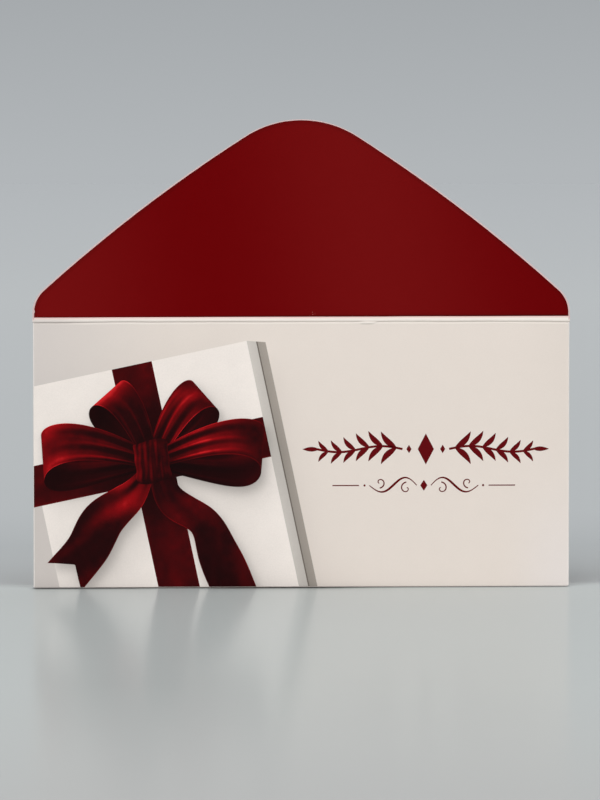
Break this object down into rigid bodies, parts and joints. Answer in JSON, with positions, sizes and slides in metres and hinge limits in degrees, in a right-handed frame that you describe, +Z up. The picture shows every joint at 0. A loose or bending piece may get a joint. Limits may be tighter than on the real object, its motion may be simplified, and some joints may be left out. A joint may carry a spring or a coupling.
{
  "type": "money envelope",
  "caption": "Flat card envelope for banknotes, with a printed front and a pointed, round-tipped flap that folds over the back of the pocket.",
  "frame": {"origin": "middle of the line where the back panel's outer face meets the table that the bottom fold stands on", "axes": "+X along the width, to the right seen from the printed front; +Y from the printed front to the back; +Z up, towards the flap's tip as it stands open"},
  "size_m": [0.165, 0.0035, 0.1438],
  "materials": {
    "printed_cream_card": "satin",
    "printed_red_card": "satin",
    "bare_card": "matte",
    "dried_glue": "satin"
  },
  "bodies": {
    "pocket": {"front_panel": "printed_cream_card", "flap_crease": "printed_cream_card", "bottom_fold": "printed_cream_card", "back_panel": "printed_red_card", "left_side_fold": "printed_cream_card", "right_side_fold": "printed_cream_card", "left_glue_tab": "bare_card", "right_glue_tab": "bare_card", "left_glue_line": "dried_glue", "right_glue_line": "dried_glue"},
    "closing_flap": {"flap": "printed_red_card"}
  },
  "joints": [
    {"name": "flap_fold", "type": "hinge", "parent": "pocket", "child": "closing_flap", "pos_m": [0, -0.00042, 0.082], "axis": [-1, 0, 0], "range_deg": [-3, 177]}
  ]
}
